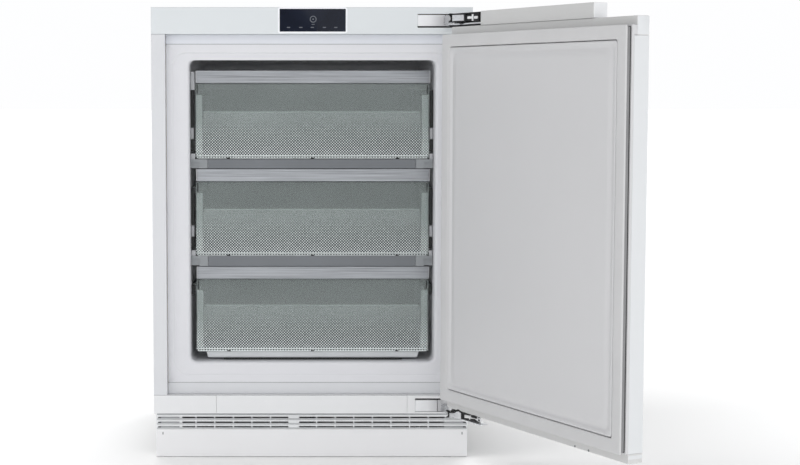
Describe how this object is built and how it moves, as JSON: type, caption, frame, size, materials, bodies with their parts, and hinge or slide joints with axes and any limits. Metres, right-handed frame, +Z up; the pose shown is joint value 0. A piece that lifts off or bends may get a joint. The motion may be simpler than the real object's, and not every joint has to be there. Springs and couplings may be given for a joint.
{
  "type": "undercounter freezer",
  "caption": "Built-in undercounter freezer with a furniture-front door on jointed hinges, clear drawers on runners, glass shelves, a control display and a ventilated plinth.",
  "frame": {"origin": "on the floor, at the middle of the width, in the plane of the cabinet's front", "axes": "+X to the right seen from the front, +Y into the cabinet, +Z up"},
  "size_m": [0.8206, 1.0605, 0.85],
  "materials": {
    "white_steel": "satin",
    "galvanised_steel": "satin",
    "white_trim": "satin",
    "white_plastic": "satin",
    "liner_white": "satin",
    "foam": "matte",
    "aluminium_tube": "satin",
    "shelf_glass": "gloss",
    "runner_grey": "satin",
    "strip_slate": "satin",
    "display_black": "gloss",
    "circuit_green": "satin",
    "grille_white": "satin",
    "black_rubber": "matte",
    "black_enamel": "satin",
    "black_plastic": "satin",
    "copper": "satin",
    "hinge_cover_grey": "satin",
    "gasket_white": "matte",
    "zinc_steel": "satin",
    "drawer_clear": "gloss",
    "rail_aluminium": "satin",
    "foot_grey": "matte"
  },
  "bodies": {
    "cabinet": {"outer_shell": "white_steel", "back_panel": "galvanised_steel", "rear_cover": "galvanised_steel", "side_trim_left": "white_trim", "side_trim_right": "white_trim", "upper_cross_rail": "white_trim", "lower_cross_rail": "white_trim", "inner_liner": "liner_white", "foam_insulation": "foam", "evaporator_coil": "aluminium_tube", "upper_glass_shelf": "shelf_glass", "lower_glass_shelf": "shelf_glass", "shelf_front_trims": "strip_slate", "drawer_runners_left": "runner_grey", "drawer_runners_right": "runner_grey", "control_fascia": "white_plastic", "display_window": "display_black", "control_board": "circuit_green", "lower_fascia": "white_plastic", "lower_cover_left": "white_plastic", "lower_cover_right": "white_plastic", "plinth_grille": "grille_white", "plinth_panel": "white_steel", "base_tray": "galvanised_steel", "air_divider": "black_rubber", "compressor": "black_enamel", "compressor_mounts": "black_rubber", "compressor_terminal_box": "black_plastic", "condenser": "black_enamel", "filter_drier": "copper", "refrigerant_pipes": "copper", "fan_frame": "black_plastic", "power_inlet": "black_plastic", "upper_hinge_housing": "hinge_cover_grey", "lower_hinge_housing": "hinge_cover_grey"},
    "hinge_links": {"upper_hinge_link": "zinc_steel", "lower_hinge_link": "zinc_steel"},
    "door": {"door_outer_panel": "white_steel", "door_top_cap": "white_plastic", "door_bottom_cap": "white_plastic", "door_inner_liner": "liner_white", "door_gasket": "gasket_white", "door_foam": "foam", "mounting_bracket": "galvanised_steel", "adjusting_studs": "zinc_steel", "bracket_cover": "white_plastic", "upper_hinge_arm": "zinc_steel", "lower_hinge_arm": "zinc_steel", "hinge_arm_screws": "zinc_steel"},
    "fan": {"fan_rotor": "black_plastic"},
    "upper_drawer": {"upper_drawer_tub": "drawer_clear", "upper_drawer_rail": "rail_aluminium"},
    "middle_drawer": {"middle_drawer_tub": "drawer_clear", "middle_drawer_rail": "rail_aluminium"},
    "lower_drawer": {"lower_drawer_tub": "drawer_clear", "lower_drawer_rail": "rail_aluminium"},
    "foot_front_left": {"foot_front_left": "foot_grey"},
    "foot_front_right": {"foot_front_right": "foot_grey"},
    "foot_rear_left": {"foot_rear_left": "foot_grey"},
    "foot_rear_right": {"foot_rear_right": "foot_grey"}
  },
  "joints": [
    {"name": "hinge_link_swing", "type": "hinge", "parent": "cabinet", "child": "hinge_links", "pos_m": [0.25, 0.012, 0.824], "axis": [0, 0, 1], "range_deg": [0, 30.01]},
    {"name": "door_swing", "type": "hinge", "parent": "hinge_links", "child": "door", "pos_m": [0.26233, -0.03149, 0.824], "axis": [0, 0, 1], "range_deg": [-146.94, 0]},
    {"name": "upper_drawer_slide", "type": "slide", "parent": "cabinet", "child": "upper_drawer", "axis": [0, -1, 0], "range_m": [0, 0.33]},
    {"name": "middle_drawer_slide", "type": "slide", "parent": "cabinet", "child": "middle_drawer", "axis": [0, -1, 0], "range_m": [0, 0.33]},
    {"name": "lower_drawer_slide", "type": "slide", "parent": "cabinet", "child": "lower_drawer", "axis": [0, -1, 0], "range_m": [0, 0.19]},
    {"name": "fan_spin", "type": "hinge", "parent": "cabinet", "child": "fan", "pos_m": [-0.02, 0.42, 0.128], "axis": [1, 0, 0], "continuous": true},
    {"name": "foot_front_left_height", "type": "slide", "parent": "cabinet", "child": "foot_front_left", "axis": [0, 0, -1], "range_m": [-0.03, 0.03]},
    {"name": "foot_front_right_height", "type": "slide", "parent": "cabinet", "child": "foot_front_right", "axis": [0, 0, -1], "range_m": [-0.03, 0.03]},
    {"name": "foot_rear_left_height", "type": "slide", "parent": "cabinet", "child": "foot_rear_left", "axis": [0, 0, -1], "range_m": [-0.03, 0.03]},
    {"name": "foot_rear_right_height", "type": "slide", "parent": "cabinet", "child": "foot_rear_right", "axis": [0, 0, -1], "range_m": [-0.03, 0.03]}
  ],
  "couplings": [
    {"joint": "hinge_link_swing", "follows": "door_swing", "ratio": -0.20417}
  ]
}
